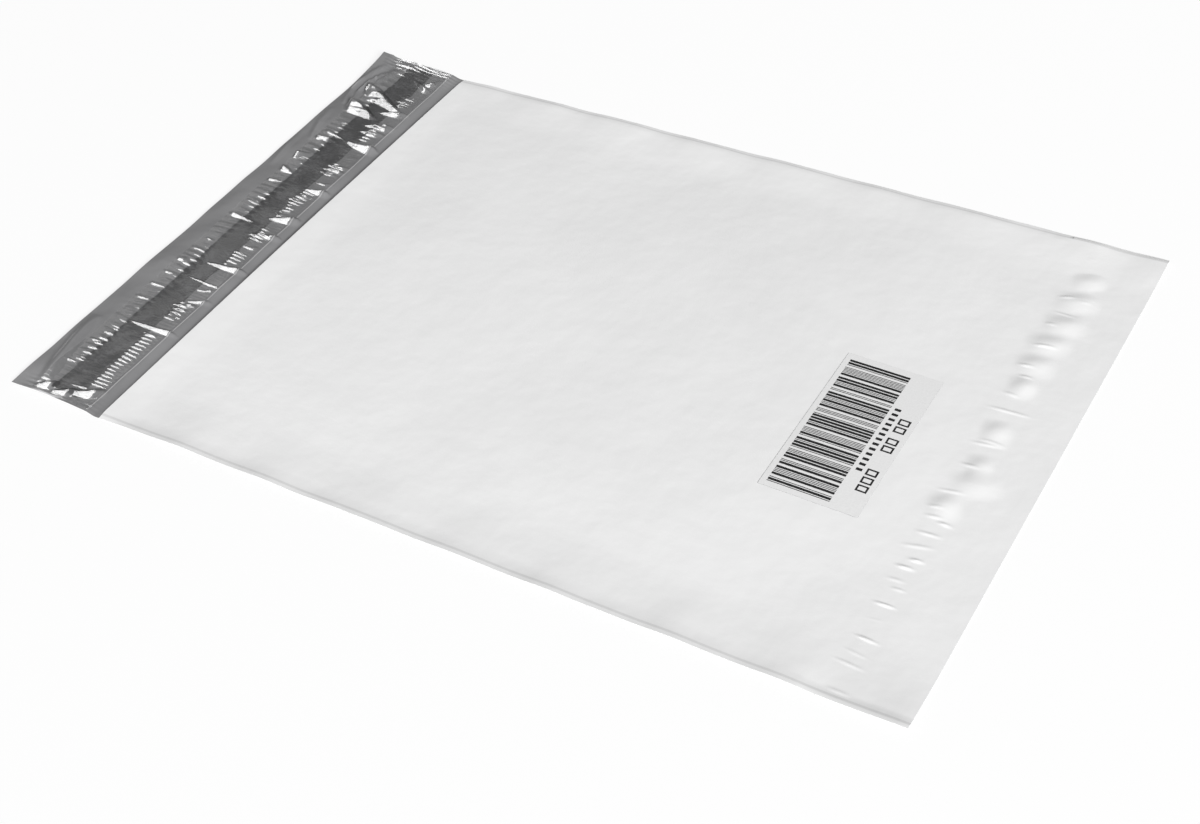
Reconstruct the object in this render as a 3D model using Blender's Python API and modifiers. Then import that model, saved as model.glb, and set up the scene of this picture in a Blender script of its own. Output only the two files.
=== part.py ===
"""A poly mailer lying flat on its back panel, with the flap open.

One web of co-extruded film, white outside and grey inside, is folded at the bottom and
welded along both sides. The back panel runs on past the mouth as the flap, which carries a
band of adhesive under a gathered release liner. A paper label sits near the bottom fold.

Units are metres. +X runs from the flap to the bottom fold, +Y across the bag and +Z up.
The origin is under the middle of the whole length, on the surface that the bag lies on.
"""

import math

import bmesh
import bpy

MM = 0.001

# The web
BAG_WIDTH = 254.0 * MM
BAG_DEPTH = 330.0 * MM
FLAP_LENGTH = 45.0 * MM
FILM = 0.06 * MM
WELD_SLIT = 0.15 * MM

# How the pocket stands open
POCKET_LOFT = 2.2 * MM
MOUTH_LOFT = 1.0 * MM
MOUTH_EASE = 90.0 * MM
FOLD_EASE = 45.0 * MM

# Long edges, flap end and corner, which lift off the table
SIDE_LIFT = 1.2 * MM
SIDE_LIFT_REACH = 26.0 * MM
SCALLOP_PITCH = 41.0 * MM
SCALLOP_SHARE = 0.45
END_CURL = 2.2 * MM
END_RIPPLE_PITCH = 85.0 * MM
END_RIPPLE_SHARE = 0.25
CORNER_CURL = 2.0 * MM
CORNER_REACH = 24.0 * MM

# Wrinkles pressed across the front panel by the strip of the bag above
WRINKLE_PITCH = 15.9 * MM
WRINKLE_HEIGHT = 0.55 * MM
WRINKLE_FROM_FOLD = 33.0 * MM
WRINKLE_SPREAD = 11.0 * MM
WRINKLE_SIDE_MARGIN = 14.0 * MM

# Adhesive band and release liner, measured from the mouth towards the flap's end
GLUE_FROM_MOUTH = 14.5 * MM
GLUE_WIDTH = 12.5 * MM
GLUE_THICKNESS = 0.1 * MM
GLUE_END_MARGIN = 4.0 * MM
LINER_FROM_MOUTH = 6.0 * MM
LINER_WIDTH = 28.5 * MM
LINER_THICKNESS = 0.05 * MM
LINER_END_MARGIN = 0.8 * MM
GATHER_PITCH = 6.3 * MM
GATHER_HEIGHT = 1.1 * MM

# Label
LABEL_LENGTH = 76.0 * MM
LABEL_WIDTH = 38.0 * MM
LABEL_THICKNESS = 0.1 * MM
LABEL_FROM_FOLD = 51.0 * MM
LABEL_OFF_CENTRE = -13.5 * MM

# Clearance between a piece and what it lies on
SEAT = 0.2 * MM

# Mesh density
COLUMNS_PER_WRINKLE = 4
COLUMNS_PER_GATHER = 4
ROWS_PER_SCALLOP = 3
WRINKLE_ROWS = 5
FLAP_FLAT_ROWS = 2
FLAP_CURL_ROWS = 4
LABEL_ROWS = 3
LABEL_COLUMNS = 10

# Places worked out from the sizes
FLAP_END = -(FLAP_LENGTH + BAG_DEPTH) / 2
MOUTH = FLAP_END + FLAP_LENGTH
FOLD = MOUTH + BAG_DEPTH - FILM
HALF_WIDTH = BAG_WIDTH / 2 - FILM
WRINKLE_COUNT = round(BAG_WIDTH / WRINKLE_PITCH)
WRINKLE_LINE = FOLD - WRINKLE_FROM_FOLD
LINER_NEAR = MOUTH - LINER_FROM_MOUTH
LINER_FAR = LINER_NEAR - LINER_WIDTH
GLUE_NEAR = MOUTH - GLUE_FROM_MOUTH
GLUE_FAR = GLUE_NEAR - GLUE_WIDTH
LINER_REACH = HALF_WIDTH - LINER_END_MARGIN
GATHER_COUNT = round(2 * LINER_REACH / GATHER_PITCH)
CURL_START = LINER_FAR

COLLECTION_NAME = "poly_mailer"


def clear_scene():
    """Remove whatever the scene holds."""
    for old in list(bpy.data.objects):
        bpy.data.objects.remove(old, do_unlink=True)


def smooth_step(start, end, value):
    """0 before start, 1 after end, with a smooth rise between."""
    t = min(max((value - start) / (end - start), 0.0), 1.0)
    return t * t * (3 - 2 * t)


def material(name, colour, roughness, alpha=1.0):
    """One Principled finish."""
    made = bpy.data.materials.new(name)
    made.use_nodes = True
    shader = made.node_tree.nodes["Principled BSDF"]
    shader.inputs["Base Color"].default_value = (*colour, 1.0)
    shader.inputs["Roughness"].default_value = roughness
    shader.inputs["Metallic"].default_value = 0.0
    shader.inputs["Alpha"].default_value = alpha
    return made


def back_height(x, y):
    """Inner side of the back panel and flap: flat on the table, lifting at its edges."""
    side = smooth_step(HALF_WIDTH - SIDE_LIFT_REACH, HALF_WIDTH, abs(y))
    in_pocket = smooth_step(MOUTH, MOUTH + SCALLOP_PITCH, x)
    scallop = 1 + SCALLOP_SHARE * math.cos(2 * math.pi * (FOLD - x) / SCALLOP_PITCH)
    curl = max((CURL_START - x) / (CURL_START - FLAP_END), 0.0) ** 2
    ripple = 1 + END_RIPPLE_SHARE * math.sin(2 * math.pi * y / END_RIPPLE_PITCH)
    from_corner = math.hypot(x - FLAP_END, y - HALF_WIDTH)
    corner = max(1 - from_corner / CORNER_REACH, 0.0) ** 2 * min(1.0, curl * 4)
    edge_lift = SIDE_LIFT * side * in_pocket * scallop
    return FILM + edge_lift + END_CURL * curl * ripple + CORNER_CURL * corner


def wrinkle(x, y):
    """Ridges that run lengthwise, side by side across the panel near the bottom fold."""
    along = math.exp(-((x - WRINKLE_LINE) / WRINKLE_SPREAD) ** 2)
    inset = smooth_step(0.0, WRINKLE_SIDE_MARGIN, HALF_WIDTH - abs(y))
    wave = math.cos(2 * math.pi * WRINKLE_COUNT * (y + HALF_WIDTH) / (2 * HALF_WIDTH))
    return WRINKLE_HEIGHT * along * inset * wave


def front_height(x, y):
    """Inner side of the front panel: the back panel plus the lens-shaped pocket."""
    across = math.cos(math.pi / 2 * min(abs(y) / HALF_WIDTH, 1.0)) ** 0.7
    opening = MOUTH_LOFT + (POCKET_LOFT - MOUTH_LOFT) * smooth_step(MOUTH, MOUTH + MOUTH_EASE, x)
    closing = smooth_step(0.0, FOLD_EASE, FOLD - x)
    loft = opening * across * closing
    return back_height(x, y) + WELD_SLIT + loft + max(wrinkle(x, y), WELD_SLIT / 2 - loft)


def spread(start, end, steps):
    """Evenly spaced stations from start to end, both kept."""
    return [start + (end - start) * k / steps for k in range(steps + 1)]


def add_grid(mesh, x_stations, y_stations, height):
    """Add a grid sheet with its rows and columns at the stations given."""
    rows, columns = len(x_stations) - 1, len(y_stations) - 1
    made = bmesh.ops.create_grid(mesh, x_segments=rows, y_segments=columns, size=0.5)
    for vert in made["verts"]:
        x = x_stations[round((vert.co.x + 0.5) * rows)]
        y = y_stations[round((vert.co.y + 0.5) * columns)]
        vert.co = (x, y, height(x, y))
    return made["verts"]


def finish_sheet(name, mesh, thickness, finish, collection):
    """Turn a sheet that faces up into a solid whose thickness lies above it."""
    data = bpy.data.meshes.new(name)
    mesh.to_mesh(data)
    mesh.free()
    data.materials.append(finish)
    made = bpy.data.objects.new(name, data)
    collection.objects.link(made)
    wall = made.modifiers.new("Thickness", "SOLIDIFY")
    wall.thickness = thickness
    wall.offset = 1.0
    wall.use_even_offset = True
    wall.use_quality_normals = True
    return made


def on_weld(vert):
    """True on the edges where the two panels are joined."""
    tiny = FILM / 10
    at_side = abs(vert.co.y) > HALF_WIDTH - tiny and vert.co.x > MOUTH - tiny
    return at_side or vert.co.x > FOLD - tiny


def film_bag(collection):
    """Both panels and the flap as one web, joined along the sides and the bottom fold."""
    columns = spread(-HALF_WIDTH, HALF_WIDTH, WRINKLE_COUNT * COLUMNS_PER_WRINKLE)
    wrinkle_start = WRINKLE_LINE - 2 * WRINKLE_SPREAD
    pocket_rows = round((wrinkle_start - MOUTH) / SCALLOP_PITCH * ROWS_PER_SCALLOP)
    panel_rows = spread(MOUTH, wrinkle_start, pocket_rows)[:-1]
    panel_rows += spread(wrinkle_start, FOLD, WRINKLE_ROWS)
    flap_rows = spread(FLAP_END, CURL_START, FLAP_CURL_ROWS)[:-1]
    flap_rows += spread(CURL_START, MOUTH, FLAP_FLAT_ROWS)[:-1]

    mesh = bmesh.new()
    add_grid(mesh, flap_rows + panel_rows, columns, back_height)
    bmesh.ops.reverse_faces(mesh, faces=mesh.faces)
    front = add_grid(mesh, panel_rows, columns, front_height)
    welds = [edge for edge in mesh.edges if edge.is_boundary and all(map(on_weld, edge.verts))]
    bmesh.ops.bridge_loops(mesh, edges=welds)
    bmesh.ops.recalc_face_normals(mesh, faces=mesh.faces)
    inner_vert = max(front, key=lambda vert: vert.co.z)
    if inner_vert.normal.z < 0:
        bmesh.ops.reverse_faces(mesh, faces=mesh.faces)
    finish = material("white_film", (0.80, 0.80, 0.81), 0.35)
    return finish_sheet("film_bag", mesh, FILM, finish, collection)


def glue_height(x, y):
    """Underside of the adhesive band, on the flap's grey side."""
    return back_height(x, y) + SEAT


def glue_strip(collection):
    """Hot-melt adhesive band across the flap."""
    reach = HALF_WIDTH - GLUE_END_MARGIN
    mesh = bmesh.new()
    add_grid(mesh, [GLUE_FAR, GLUE_NEAR], spread(-reach, reach, 2), glue_height)
    finish = material("adhesive", (0.11, 0.11, 0.12), 0.45)
    return finish_sheet("glue_strip", mesh, GLUE_THICKNESS, finish, collection)


def liner_height(x, y):
    """Underside of the liner: flat over the adhesive, gathered on both sides of it."""
    over_glue = glue_height(x, y) + GLUE_THICKNESS + SEAT
    edge = max(smooth_step(GLUE_NEAR, LINER_NEAR, x), 1 - smooth_step(LINER_FAR, GLUE_FAR, x))
    wave = 0.5 - 0.5 * math.cos(2 * math.pi * GATHER_COUNT * (y + LINER_REACH) / (2 * LINER_REACH))
    return over_glue + GATHER_HEIGHT * edge * wave


def release_liner(collection):
    """Clear strip that keeps the adhesive covered, wrinkled across its whole length."""
    mesh = bmesh.new()
    rows = [LINER_FAR, GLUE_FAR, (GLUE_FAR + GLUE_NEAR) / 2, GLUE_NEAR, LINER_NEAR]
    columns = spread(-LINER_REACH, LINER_REACH, GATHER_COUNT * COLUMNS_PER_GATHER)
    add_grid(mesh, rows, columns, liner_height)
    finish = material("liner_film", (0.62, 0.62, 0.64), 0.12, alpha=0.35)
    return finish_sheet("release_liner", mesh, LINER_THICKNESS, finish, collection)


def label_height(x, y):
    """Underside of the label, on the outside of the front panel."""
    return front_height(x, y) + FILM + SEAT


def pack_label(collection):
    """Self-adhesive paper label, its long side across the bag."""
    far_edge = FOLD - LABEL_FROM_FOLD
    rows = spread(far_edge - LABEL_WIDTH, far_edge, LABEL_ROWS)
    low = LABEL_OFF_CENTRE - LABEL_LENGTH / 2
    mesh = bmesh.new()
    add_grid(mesh, rows, spread(low, low + LABEL_LENGTH, LABEL_COLUMNS), label_height)
    finish = material("label_paper", (0.86, 0.86, 0.86), 0.55)
    return finish_sheet("pack_label", mesh, LABEL_THICKNESS, finish, collection)


def main():
    clear_scene()
    collection = bpy.data.collections.new(COLLECTION_NAME)
    bpy.context.scene.collection.children.link(collection)
    film_bag(collection)
    glue_strip(collection)
    release_liner(collection)
    pack_label(collection)


main()
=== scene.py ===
"""Looks of a flat poly mailer: white film with a grey inside, a covered adhesive band and a label."""

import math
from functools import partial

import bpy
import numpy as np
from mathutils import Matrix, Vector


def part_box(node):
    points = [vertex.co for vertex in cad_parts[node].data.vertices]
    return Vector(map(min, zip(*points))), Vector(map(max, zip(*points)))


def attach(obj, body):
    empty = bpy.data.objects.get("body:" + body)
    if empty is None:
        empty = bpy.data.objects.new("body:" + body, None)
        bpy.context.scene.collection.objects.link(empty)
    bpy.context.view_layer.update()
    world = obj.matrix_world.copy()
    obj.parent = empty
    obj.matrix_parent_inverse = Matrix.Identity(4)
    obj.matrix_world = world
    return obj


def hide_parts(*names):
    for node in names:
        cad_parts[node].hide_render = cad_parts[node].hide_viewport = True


bl_info = {
    "name": "Poly mailer",
    "version": (1, 0, 0),
    "blender": (4, 5, 0),
    "location": "3D View > Sidebar > Mailer",
    "description": "Film bag, adhesive band, release liner and label of a flat poly mailer",
    "category": "Object",
}

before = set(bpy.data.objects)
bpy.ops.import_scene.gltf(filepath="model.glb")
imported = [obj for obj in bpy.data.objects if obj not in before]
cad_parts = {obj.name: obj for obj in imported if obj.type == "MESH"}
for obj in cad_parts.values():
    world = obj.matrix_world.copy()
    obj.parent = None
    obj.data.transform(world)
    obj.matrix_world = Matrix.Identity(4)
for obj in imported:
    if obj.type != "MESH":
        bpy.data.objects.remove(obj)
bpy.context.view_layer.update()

MM = 0.001

BAG_LOW, BAG_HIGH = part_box("film_bag")
LINER_LOW, LINER_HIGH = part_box("release_liner")
GLUE_LOW, GLUE_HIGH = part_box("glue_strip")
LABEL_LOW, LABEL_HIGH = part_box("pack_label")

# Thickness of each sheet, and the air under it
FILM = 0.06 * MM
GLUE_SHEET = 0.06 * MM
LINER_SHEET = 0.04 * MM
LABEL_SHEET = 0.08 * MM
PANEL_GAP = 0.15 * MM
GLUE_GAP = 0.1 * MM
LINER_GAP = 0.3 * MM
LABEL_GAP = 0.06 * MM

# Places on the web, from the frame and the film's thickness
LINER_FROM_MOUTH = 6.0 * MM
FLAP_END = BAG_LOW[0] + FILM
MOUTH = LINER_HIGH[0] + LINER_FROM_MOUTH
FOLD = BAG_HIGH[0] - FILM
HALF_WIDTH = (BAG_HIGH[1] - BAG_LOW[1]) / 2 - FILM
CURL_START = LINER_LOW[0]

# Grid steps: rows run along X and columns along Y. The front panel is finer where it is wrinkled
WRINKLE_ZONE = 38 * MM
PANEL_ROWS = 60
WRINKLE_ROWS = 28
FLAP_ROWS = (8, 23, 5)
BACK_COLUMNS = 50
FRONT_COLUMNS = 100
WRINKLE_COLUMNS = 600
FLAP_COLUMNS = 500
GLUE_ROWS = 12
GLUE_COLUMNS = 590
LINER_ROWS = 40
LINER_COLUMNS = 1000
LABEL_ROWS = 13

# Where most of a noise texture's values lie
NOISE_LOW = 0.3
NOISE_HIGH = 0.7

# Large folds across the strip, each as root and end in millimetres from the flap's free end and
# from its near side, and the width that it opens to
LARGE_FOLDS = (
    (19, 48.5, 41.5, 50.5, 2.6), (27, 64.5, 37, 68, 1.8), (31, 68, 41, 73, 2.2),
    (20, 81.5, 39, 81, 1.2), (23, 92, 42, 94.5, 3.2), (27, 115, 41, 119, 3.2),
    (28, 127.5, 41, 132.5, 4.4), (30, 150.5, 41, 153.5, 3.6), (25, 188, 41.5, 188.5, 5.0),
    (26, 197, 37, 199.5, 3.2), (25, 202, 38, 206, 4.0), (26, 213, 38, 217, 3.6),
    (26, 242, 36, 237, 3.2), (18, 158, 10.5, 160.5, 3.6), (18, 173, 10.5, 170.5, 4.6),
    (25, 122.5, 11, 123.5, 2.4), (17, 150.5, 11, 150, 2.0), (22, 186, 11, 185, 3.0),
    (18, 19.5, 10.5, 19.5, 1.3), (27, 208, 8, 215, 8.0), (36, 216, 8, 229, 7.5),
    (31.5, 202, 38, 204.5, 3.4), (31, 240, 36.5, 243, 3.0), (10, 2, 19, 6.5, 4.6),
    (19, 1.5, 28, 6.5, 4.4), (25, 4.5, 38.5, 11.5, 5.0), (22, 8.5, 33, 10.5, 1.3),
    (28, 45.8, 35, 46.2, 1.4), (28, 57.5, 34.5, 58.2, 1.2), (28, 60.3, 35, 61, 1.0),
    (28, 62.3, 36, 64, 1.3), (28, 102.8, 35, 103.2, 1.2), (28, 113, 34, 113.8, 1.0),
    (28, 115.3, 35, 116, 1.1), (27, 132, 34, 133, 1.2), (27.5, 134.5, 35, 135.5, 1.2),
    (28, 137.5, 34, 138.3, 1.0), (27, 142.5, 35, 143.6, 1.6), (28, 146, 36, 147.2, 1.3),
    (27, 164.5, 36, 165.5, 1.5), (27, 167, 38, 168.4, 2.0), (27.5, 170, 38, 172, 2.2),
    (27, 220.5, 33, 221.5, 1.3), (26.5, 224, 34, 225.2, 1.4), (27, 228, 33, 229, 1.2),
    (24, 188.5, 12, 191.5, 2.0),
)
# Softer folds beside the band, with about half the slope
SOFT_FOLDS = (
    (18, 24, 13, 24.4, 1.2), (18, 33, 12, 33.5, 1.4), (18, 41, 12.5, 41, 1.2),
    (18, 55, 12, 55, 1.6), (18, 62.5, 11, 62, 1.8), (18, 71.5, 10.5, 71.5, 1.8),
    (17.5, 80, 11, 80, 1.6), (18.5, 90.5, 10.5, 89.5, 2.8), (18, 97.8, 11, 98, 1.8),
    (18, 105, 13, 105, 1.4), (18, 133, 12, 134, 1.8), (18, 143.5, 13, 143.5, 1.4),
    (31, 76, 38, 79, 2.0), (30, 107, 37, 109, 2.2), (30, 156, 38, 159, 2.4),
    (31, 178, 37, 180, 2.0),
)
SOFT_SHARE = 0.55
# Stretches of the strip, in millimetres from its near side, where each edge of the band is combed
MOUTH_COMBS = (
    (13, 47), (57, 68), (95, 103), (112, 122), (130, 150), (164, 173), (191, 206), (221, 231))
FREE_COMBS = ((20, 48), (95, 104), (137, 143), (150, 172), (183, 200))
# Soft creases in the plain part of the flap: start and end in millimetres from its free end and near
# side, how far the line bows out, width and height
SOFT_CREASES = (
    ((12, 4), (4, 46), 1.0, 3.4, 1.3), ((14, 6), (9, 34), 1.0, 2.4, 0.7),
    ((10, 182), (3, 208), 1.0, 2.2, 1.1), ((11, 188), (8, 200), 1.0, 1.3, 0.5),
    ((4, 160), (1.5, 190), 0.5, 2.0, 0.5), ((10, 214), (15, 246), 6.0, 1.5, 1.2),
    ((12, 219), (19, 248), 5.0, 1.3, 1.0), ((6, 212), (9, 249), 5.0, 1.8, 1.1),
    ((36, 236), (39, 249), 2.0, 1.5, 0.6),
)
# Pressed dimples near the bottom fold: start and end in millimetres from the fold and the near side
DIMPLES = (
    ((32.6, 230.4), (16.1, 235.7)), ((32.7, 216.4), (15.6, 223.1)),
    ((32.5, 202.3), (15.7, 207.4)), ((33.9, 189.4), (16.6, 194.3)),
    ((33.6, 177.0), (18.3, 180.6)), ((31.0, 164.6), (20.0, 166.8)),
    ((31.0, 137.6), (19.5, 140.2)), ((29.3, 118.2), (19.2, 121.4)),
    ((31.3, 107.7), (13.5, 115.0)), ((33.8, 95.1), (22.2, 99.2)),
)
# Thin lips beside them: start and end likewise, and a height of 1 for a faint one, 3 for a bright one
LIPS = (
    ((29.1, 240.2), (26.4, 243.6), 1.2), ((25.7, 237.8), (19.3, 241.3), 1.0),
    ((30.6, 215.9), (25.0, 218.0), 2.0), ((22.3, 215.6), (19.1, 217.1), 1.0),
    ((29.9, 207.1), (20.9, 206.6), 1.2), ((29.6, 199.5), (26.3, 199.0), 1.8),
    ((29.9, 185.4), (21.2, 186.7), 2.0), ((30.7, 172.9), (24.8, 173.2), 1.8),
    ((28.0, 167.3), (23.2, 167.4), 2.0), ((30.0, 156.8), (24.2, 155.7), 1.6),
    ((32.9, 146.9), (15.9, 147.9), 1.6), ((28.4, 129.7), (18.9, 129.6), 1.6),
    ((31.3, 126.9), (18.7, 129.1), 1.4), ((30.0, 115.7), (23.0, 114.9), 1.8),
    ((32.4, 100.0), (22.7, 102.0), 1.4), ((32.2, 91.3), (26.3, 92.2), 1.2),
    ((31.0, 86.9), (25.1, 87.7), 1.8), ((25.8, 85.9), (21.3, 85.1), 3.0),
    ((31.1, 78.8), (21.7, 79.4), 1.8), ((33.2, 70.9), (22.1, 73.9), 1.4),
    ((27.6, 65.9), (23.2, 66.6), 3.2), ((30.6, 61.8), (24.6, 62.1), 3.0),
    ((31.3, 55.5), (25.3, 55.7), 1.4), ((28.3, 51.8), (23.0, 52.1), 1.8),
    ((31.2, 43.9), (22.6, 44.0), 3.4), ((32.7, 35.9), (22.2, 37.8), 1.2),
    ((31.0, 28.5), (21.3, 27.6), 3.4), ((32.4, 22.1), (21.7, 20.4), 1.4),
    ((33.3, 16.8), (20.9, 15.6), 1.4), ((29.7, 4.5), (20.4, 4.1), 1.2),
)

# The label's print, in millimetres from its left edge and near side
BAR_SPAN = (2.2, 26.3)
TICK_SPAN = (27.8, 30.2)
BOX_SPAN = (31.6, 36.0)
FIRST_BAR = 2.6
BAR_GROUPS = 12
BARS_PER_GROUP = 5
WIDE_BARS_PER_GROUP = 2
WIDE_MODULES = 3.2
FIRST_TICK = (20.7, 22.0)
TICK_PITCH = 2.8
TICK_COUNT = 13
BOX_STARTS = (11.5, 15.7, 19.9, 33.0, 37.2, 43.8, 48.0)
BOX_SIDE = 3.3
BOX_LINE = 0.75

# The camera looks at this point, and its sensor is this wide in millimetres
CAMERA_AIM = (28.9 * MM, -42.1 * MM, 0.0)
SENSOR_WIDTH = 36.0
# Softboxes: place in metres, width and height in metres, and power in watts. The cards face the flap
KEY_LAMP = ((6.3, -4.9, 4.2), 2.4, 2.4, 1235.0)
CARDS = (
    ("bright_card", (-1.75, -0.15, 2.4), 1.6, 1.7, 58.0),
    ("dim_card", (-2.8, 1.75, 2.4), 1.7, 0.9, 2.4),
    ("sheen_card", (3.15, -2.45, 2.1), 1.8, 1.8, 15.0),
)
CARD_AIM = (-0.165, 0.0, 0.0)
# The floor's reach and height in metres, how much of its colour is plain white to the camera, and the
# strength of the light from all round
FLOOR_REACH = 6.0
FLOOR_HEIGHT = -0.0002
WHITE_SHARE = 0.82
FILL_STRENGTH = 0.28


def linear(code):
    """An sRGB hex colour as linear red, green and blue, by the sRGB standard's two-part curve."""
    parts = np.array([int(code[k:k + 2], 16) for k in (1, 3, 5)]) / 255
    low = parts / 12.92
    high = ((parts + 0.055) / 1.055) ** 2.4
    return tuple(float(v) for v in np.where(parts <= 0.04045, low, high))


class FilmLook(bpy.types.PropertyGroup):
    """Shape and colours of the film web."""

    loft: bpy.props.FloatProperty(
        name="Pocket loft", description="Height of the front panel over the back one",
        default=1.5 * MM, unit="LENGTH")
    mouth_loft: bpy.props.FloatProperty(
        name="Mouth loft", description="How far the mouth stands open in the middle",
        default=0.9 * MM, unit="LENGTH")
    swell: bpy.props.FloatProperty(
        name="Swell", description="Height of the long soft waves in the front panel",
        default=0.45 * MM, unit="LENGTH")
    dimple: bpy.props.FloatProperty(
        name="Dimple", description="Height of the pressed dimples near the bottom fold",
        default=0.76 * MM, unit="LENGTH")
    lip: bpy.props.FloatProperty(
        name="Lip", description="Height of a faint lip beside the dimples",
        default=0.16 * MM, unit="LENGTH")
    side_lift: bpy.props.FloatProperty(
        name="Side lift", description="How far the welded sides stand off the table",
        default=0.8 * MM, unit="LENGTH")
    side_curl: bpy.props.FloatProperty(
        name="Side curl", description="Lift of the near side's cut edge",
        default=0.5 * MM, unit="LENGTH")
    pucker: bpy.props.FloatProperty(
        name="Pucker", description="Height of the short waves that the side welds pull",
        default=0.22 * MM, unit="LENGTH")
    curl: bpy.props.FloatProperty(
        name="Flap curl", description="Lift of the flap's free end",
        default=0.2 * MM, unit="LENGTH")
    outside: bpy.props.FloatVectorProperty(
        name="Outside", description="Colour of the white side of the film",
        default=linear("#E9E9E9"), subtype="COLOR")
    inside: bpy.props.FloatVectorProperty(
        name="Inside", description="Colour of the grey side of the film",
        default=linear("#7A7A7B"), subtype="COLOR")


class StripLook(bpy.types.PropertyGroup):
    """Shape and colours of the adhesive band and its liner."""

    comb_pitch: bpy.props.FloatProperty(
        name="Comb pitch", description="Spacing of the fine gathers beside the adhesive",
        default=2.0 * MM, unit="LENGTH")
    comb_height: bpy.props.FloatProperty(
        name="Comb height", description="Height of the fine gathers",
        default=0.4 * MM, unit="LENGTH")
    pucker_pitch: bpy.props.FloatProperty(
        name="Pucker pitch", description="Spacing of the soft puckers on the flap side",
        default=3.6 * MM, unit="LENGTH")
    pucker_height: bpy.props.FloatProperty(
        name="Pucker height", description="Height of the soft puckers",
        default=0.45 * MM, unit="LENGTH")
    fold_slope: bpy.props.FloatProperty(
        name="Fold slope", description="Rise over run of the large folds' flat facets",
        default=0.32)
    bunch_height: bpy.props.FloatProperty(
        name="Bunch height", description="Height of the ridges that the cut sides pull together",
        default=0.55 * MM, unit="LENGTH")
    adhesive: bpy.props.FloatVectorProperty(
        name="Adhesive", description="Colour of the hot-melt adhesive",
        default=linear("#29292A"), subtype="COLOR")
    liner: bpy.props.FloatVectorProperty(
        name="Liner", description="Tint of the clear liner",
        default=linear("#4C4C4D"), subtype="COLOR")
    # Painted highlight: the slit edge's catch of light is painted as this light tint
    slit_highlight_tint: bpy.props.FloatVectorProperty(
        name="Slit edge", description="Tint of the liner's slit edge, which catches light",
        default=linear("#D0D0D0"), subtype="COLOR")


class LabelLook(bpy.types.PropertyGroup):
    """The printed paper label."""

    module: bpy.props.FloatProperty(
        name="Bar module", description="Width of the thinnest printed bar",
        default=0.355 * MM, unit="LENGTH")
    paper: bpy.props.FloatVectorProperty(
        name="Paper", description="Colour of the label paper",
        default=linear("#E1E1E1"), subtype="COLOR")
    ink: bpy.props.FloatVectorProperty(
        name="Ink", description="Colour of the printed bars",
        default=linear("#101011"), subtype="COLOR")
    # Painted shade: a dark grey on the label's rim draws its outline as shade
    edge_shade_tint: bpy.props.FloatVectorProperty(
        name="Cut edge", description="Colour of the label's cut edge",
        default=linear("#6E6E6E"), subtype="COLOR")


class StageLook(bpy.types.PropertyGroup):
    """Camera, lamps and floor."""

    azimuth: bpy.props.FloatProperty(
        name="Azimuth", description="Camera's turn round the bag, 0 looking along +Y",
        default=math.radians(34.5), subtype="ANGLE")
    elevation: bpy.props.FloatProperty(
        name="Elevation", description="Camera's height over the horizon",
        default=math.radians(42.4), subtype="ANGLE")
    roll: bpy.props.FloatProperty(
        name="Roll", description="Camera's turn about its own view",
        default=math.radians(6.3), subtype="ANGLE")
    distance: bpy.props.FloatProperty(
        name="Distance", description="Camera's distance from the point it looks at",
        default=685 * MM, unit="LENGTH")
    focal_length: bpy.props.FloatProperty(
        name="Focal length", description="Lens in millimetres on a 36 mm wide sensor",
        default=55.7)
    floor: bpy.props.FloatVectorProperty(
        name="Floor", description="Colour of the floor",
        default=linear("#F6F6F6"), subtype="COLOR")


def smooth(start, end, value):
    """0 before start, 1 after end, with the cubic 3t^2 - 2t^3 between."""
    t = np.clip((value - start) / (end - start), 0.0, 1.0)
    return t * t * (3 - 2 * t)


def swell(x, y, seed, shortest, longest, waves=9):
    """A sum of plane sine waves of random length in millimetres, heading and phase.

    Each is as high as it is long, and the sum is divided by half of all lengths."""
    rng = np.random.default_rng(seed)
    total = np.zeros(np.broadcast(x, y).shape)
    weight = 0.0
    for _ in range(waves):
        length = rng.uniform(shortest * MM, longest * MM)
        heading = rng.uniform(0, math.pi)
        phase = rng.uniform(0, 2 * math.pi)
        way = x * math.cos(heading) + y * math.sin(heading)
        total += length * np.sin(2 * math.pi * way / length + phase)
        weight += length
    return 2 * total / weight


def jitter(y, seed, shortest, longest):
    """A wandering value along y alone, about -1 to 1: swell on a line."""
    return swell(np.zeros_like(y), y, seed, shortest, longest, waves=12)


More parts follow.
